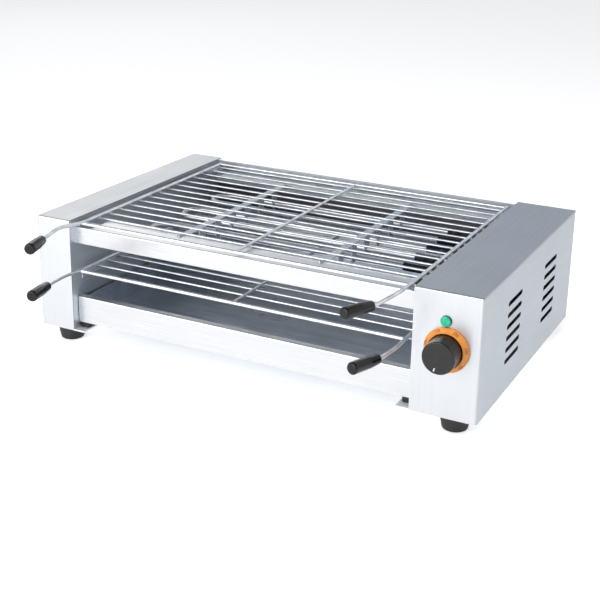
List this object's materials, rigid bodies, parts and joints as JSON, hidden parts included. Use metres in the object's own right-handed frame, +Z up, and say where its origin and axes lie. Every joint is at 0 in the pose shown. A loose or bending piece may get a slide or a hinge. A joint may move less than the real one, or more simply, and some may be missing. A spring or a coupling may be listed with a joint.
{
  "type": "electric_kebab_grill",
  "caption": "Table-top electric kebab grill in stainless steel with lift-off upper grate, slide-out lower grate, hairpin elements, thermostat dial and pull-out drip tray.",
  "frame": {"origin": "on the table, under the middle of the whole grill with grips and cable gland", "axes": "+X to the right along the grill, +Y from the front to the back, +Z up"},
  "size_m": [0.65, 0.5512, 0.1928],
  "materials": {
    "brushed_stainless": "brushed stainless steel sheet, grain along the grill",
    "frame_steel": "brushed stainless sheet, inner frame",
    "cover_steel": "dull zinc-coated sheet",
    "tray_steel": "bright rolled stainless sheet",
    "chromed_wire": "nickel-chrome plated steel wire",
    "element_sheath": "polished stainless element tube",
    "cold_sleeve": "dark oxidised sleeve",
    "bright_screw": "zinc-plated steel",
    "brass": "plain brass",
    "copper": "plain copper",
    "black_grip": "black moulded plastic, slightly glossy",
    "black_knob": "black moulded plastic",
    "orange_ring": "orange printed plastic",
    "white_mark": "white plastic",
    "green_lens": "green clear plastic",
    "black_plastic": "black plastic",
    "black_rubber": "black rubber",
    "white_ceramic": "unglazed steatite",
    "mineral_board": "pressed mineral fibre board",
    "brown_core": "brown silicone insulation",
    "blue_core": "blue silicone insulation",
    "earth_core": "green and yellow silicone insulation"
  },
  "bodies": {
    "frame": {"left_housing": "brushed_stainless", "right_housing": "brushed_stainless", "left_inner_wall": "frame_steel", "right_inner_wall": "frame_steel", "left_base": "frame_steel", "right_base": "frame_steel", "left_rear_cover": "cover_steel", "right_rear_cover": "cover_steel", "front_crossbar": "brushed_stainless", "rear_crossbar": "frame_steel", "rear_panel": "frame_steel", "grate_ledges": "frame_steel", "rear_grate_rests": "frame_steel", "element_combs": "frame_steel", "front_element": "element_sheath", "middle_element": "element_sheath", "rear_element": "element_sheath", "element_sleeves": "cold_sleeve", "element_bushes": "brass", "element_nuts": "brass", "element_terminals": "bright_screw", "terminal_nuts": "brass", "live_link_bar": "copper", "neutral_link_bar": "copper", "thermostat_body": "black_plastic", "dial_bezel": "orange_ring", "pilot_body": "black_plastic", "pilot_lens": "green_lens", "pilot_nut": "black_plastic", "sensor_bulb": "element_sheath", "sensor_clips": "frame_steel", "capillary_tube": "copper", "terminal_block": "white_ceramic", "terminal_screws": "bright_screw", "earth_stud": "brass", "live_wires": "brown_core", "neutral_wires": "blue_core", "earth_wire": "earth_core", "insulation_board": "mineral_board", "cable_gland": "black_plastic", "gland_nut": "black_plastic", "feet": "black_rubber", "foot_screws": "bright_screw", "foot_nuts": "bright_screw", "pan_head_screws": "bright_screw", "ledge_rivets": "bright_screw"},
    "knob_body": {"knob": "black_knob", "knob_pointer": "white_mark", "thermostat_shaft": "bright_screw"},
    "tray_body": {"drip_tray": "tray_steel", "tray_front": "brushed_stainless", "tray_runners": "black_plastic"},
    "upper_grate_body": {"upper_grate": "chromed_wire", "upper_side_rods": "chromed_wire", "upper_left_grip": "black_grip", "upper_right_grip": "black_grip"},
    "lower_grate_body": {"lower_grate": "chromed_wire", "lower_side_rods": "chromed_wire", "lower_left_grip": "black_grip", "lower_right_grip": "black_grip"}
  },
  "joints": [
    {"name": "knob_turn", "type": "hinge", "parent": "frame", "child": "knob_body", "pos_m": [0.283, -0.14939, 0.112], "axis": [0, 1, 0], "range_deg": [0, 270]},
    {"name": "tray_slide", "type": "slide", "parent": "frame", "child": "tray_body", "axis": [0, -1, 0], "range_m": [0, 0.35]},
    {"name": "lower_grate_slide", "type": "slide", "parent": "frame", "child": "lower_grate_body", "axis": [0, -1, 0], "range_m": [0, 0.3]},
    {"name": "upper_grate_lift", "type": "slide", "parent": "frame", "child": "upper_grate_body", "axis": [0, 0, 1], "range_m": [0, 0.1]}
  ]
}
